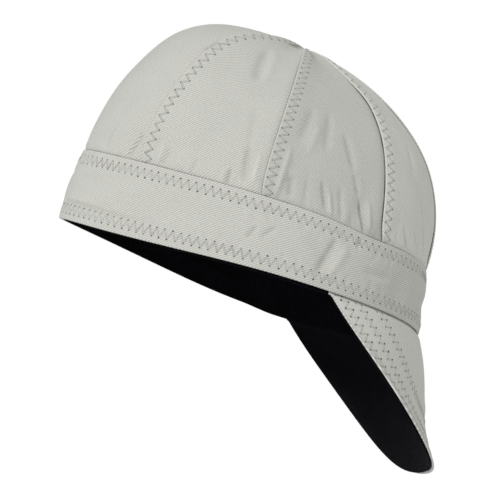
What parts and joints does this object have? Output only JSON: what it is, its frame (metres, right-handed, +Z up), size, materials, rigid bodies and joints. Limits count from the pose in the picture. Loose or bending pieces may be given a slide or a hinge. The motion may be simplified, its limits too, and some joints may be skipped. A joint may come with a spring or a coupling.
{
  "type": "welding cap",
  "caption": "Soft welding cap: a domed crown of lapped canvas panels on a deep stitched band with a black lining, and a short soft bill that hangs down.",
  "frame": {"origin": "middle of the head opening, at the rim's height, where the cap sits on the head", "axes": "+Z up through the crown, -Y towards the bill, X across the head"},
  "size_m": [0.1669, 0.236, 0.2039],
  "materials": {
    "canvas": "light warm-grey cotton canvas, matt",
    "black_cloth": "black cotton lining cloth, matt"
  },
  "bodies": {
    "root": {"band": "canvas", "band_lining": "black_cloth", "crown_panel_1": "canvas", "crown_panel_2": "canvas", "crown_panel_3": "canvas", "crown_panel_4": "canvas", "crown_panel_5": "canvas", "crown_panel_6": "canvas", "crown_panel_7": "canvas", "crown_panel_8": "canvas", "bill_top": "canvas", "bill_underside": "black_cloth"}
  },
  "joints": []
}
